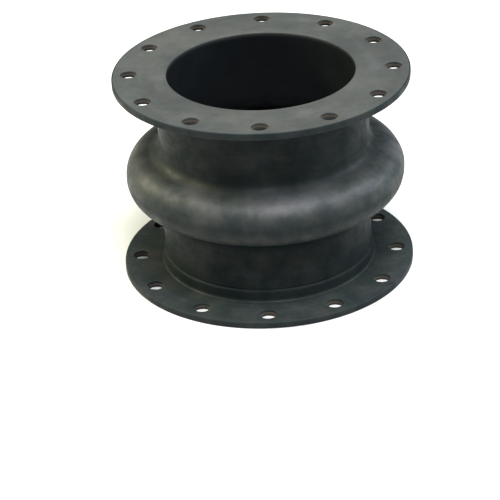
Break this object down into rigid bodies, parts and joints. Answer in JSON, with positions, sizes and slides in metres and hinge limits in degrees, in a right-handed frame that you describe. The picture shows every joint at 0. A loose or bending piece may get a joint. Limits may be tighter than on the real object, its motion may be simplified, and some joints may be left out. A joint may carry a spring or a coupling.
{
  "type": "rubber expansion joint",
  "caption": "Flanged rubber pipe expansion joint with a rounded flexible arch around its middle and flat full-face flanges drilled for bolts.",
  "frame": {"origin": "centre of the lower sealing face", "axes": "+Z along the pipe axis from the lower flange to the upper one; +X and +Y each pass through a bolt hole"},
  "size_m": [0.395, 0.395, 0.28],
  "materials": {
    "cover_rubber": "matt, slightly mottled",
    "tube_rubber": "matt",
    "filler_rubber": "matt",
    "fabric_ply": "woven, rubber coated",
    "steel_wire": "drawn wire",
    "steel_ring": "rolled flat bar"
  },
  "bodies": {
    "lower_end": {"lower_tube": "tube_rubber", "lower_ply_inner": "fabric_ply", "lower_ply_outer": "fabric_ply", "lower_cover": "cover_rubber", "lower_corner_filler": "filler_rubber", "lower_body_ring": "steel_ring", "arch_tube_1": "tube_rubber", "arch_carcass_1": "fabric_ply", "arch_cover_1": "cover_rubber"},
    "hoop_1": {"arch_hoop_1": "steel_wire", "arch_tube_2": "tube_rubber", "arch_carcass_2": "fabric_ply", "arch_cover_2": "cover_rubber"},
    "hoop_2": {"arch_hoop_2": "steel_wire", "arch_tube_3": "tube_rubber", "arch_carcass_3": "fabric_ply", "arch_cover_3": "cover_rubber"},
    "hoop_3": {"arch_hoop_3": "steel_wire", "arch_tube_4": "tube_rubber", "arch_carcass_4": "fabric_ply", "arch_cover_4": "cover_rubber"},
    "hoop_4": {"arch_hoop_4": "steel_wire", "arch_tube_5": "tube_rubber", "arch_carcass_5": "fabric_ply", "arch_cover_5": "cover_rubber"},
    "hoop_5": {"arch_hoop_5": "steel_wire", "arch_tube_6": "tube_rubber", "arch_carcass_6": "fabric_ply", "arch_cover_6": "cover_rubber"},
    "hoop_6": {"arch_hoop_6": "steel_wire", "arch_tube_7": "tube_rubber", "arch_carcass_7": "fabric_ply", "arch_cover_7": "cover_rubber"},
    "hoop_7": {"arch_hoop_7": "steel_wire", "arch_tube_8": "tube_rubber", "arch_carcass_8": "fabric_ply", "arch_cover_8": "cover_rubber"},
    "hoop_8": {"arch_hoop_8": "steel_wire", "arch_tube_9": "tube_rubber", "arch_carcass_9": "fabric_ply", "arch_cover_9": "cover_rubber"},
    "upper_end": {"upper_tube": "tube_rubber", "upper_ply_inner": "fabric_ply", "upper_ply_outer": "fabric_ply", "upper_cover": "cover_rubber", "upper_corner_filler": "filler_rubber", "upper_body_ring": "steel_ring"}
  },
  "joints": [
    {"name": "lateral_x", "type": "slide", "parent": "lower_end", "child": "hoop_1", "axis": [1, 0, 0], "range_m": [-0.0065, 0.0065], "stiffness_N_per_m": 400000, "deforming": ["arch_tube_1", "arch_carcass_1", "arch_cover_1"]},
    {"name": "lateral_y", "type": "slide", "parent": "hoop_1", "child": "hoop_2", "axis": [0, 1, 0], "range_m": [-0.0065, 0.0065], "stiffness_N_per_m": 400000, "deforming": ["arch_tube_2", "arch_carcass_2", "arch_cover_2"]},
    {"name": "axial", "type": "slide", "parent": "hoop_2", "child": "hoop_3", "axis": [0, 0, 1], "range_m": [-0.009, 0.005], "stiffness_N_per_m": 400000, "deforming": ["arch_tube_3", "arch_carcass_3", "arch_cover_3"]},
    {"name": "tilt_x", "type": "hinge", "parent": "hoop_3", "child": "hoop_4", "pos_m": [0, 0, 0.1195], "axis": [1, 0, 0], "range_deg": [-4, 4], "stiffness_Nm_per_rad": 900, "deforming": ["arch_tube_4", "arch_carcass_4", "arch_cover_4"]},
    {"name": "twist", "type": "hinge", "parent": "hoop_4", "child": "hoop_5", "pos_m": [0, 0, 0.137], "axis": [0, 0, 1], "range_deg": [-3, 3], "stiffness_Nm_per_rad": 4000, "deforming": ["arch_tube_5", "arch_carcass_5", "arch_cover_5"]},
    {"name": "tilt_y", "type": "hinge", "parent": "hoop_5", "child": "hoop_6", "pos_m": [0, 0, 0.1545], "axis": [0, 1, 0], "range_deg": [-4, 4], "stiffness_Nm_per_rad": 900, "deforming": ["arch_tube_6", "arch_carcass_6", "arch_cover_6"]},
    {"name": "axial_upper", "type": "slide", "parent": "hoop_6", "child": "hoop_7", "axis": [0, 0, 1], "range_m": [-0.009, 0.005], "deforming": ["arch_tube_7", "arch_carcass_7", "arch_cover_7"]},
    {"name": "lateral_y_upper", "type": "slide", "parent": "hoop_7", "child": "hoop_8", "axis": [0, 1, 0], "range_m": [-0.0065, 0.0065], "deforming": ["arch_tube_8", "arch_carcass_8", "arch_cover_8"]},
    {"name": "lateral_x_upper", "type": "slide", "parent": "hoop_8", "child": "upper_end", "axis": [1, 0, 0], "range_m": [-0.0065, 0.0065], "deforming": ["arch_tube_9", "arch_carcass_9", "arch_cover_9"]}
  ],
  "couplings": [
    {"joint": "axial_upper", "follows": "axial", "ratio": 1},
    {"joint": "lateral_y_upper", "follows": "lateral_y", "ratio": 1},
    {"joint": "lateral_x_upper", "follows": "lateral_x", "ratio": 1}
  ]
}
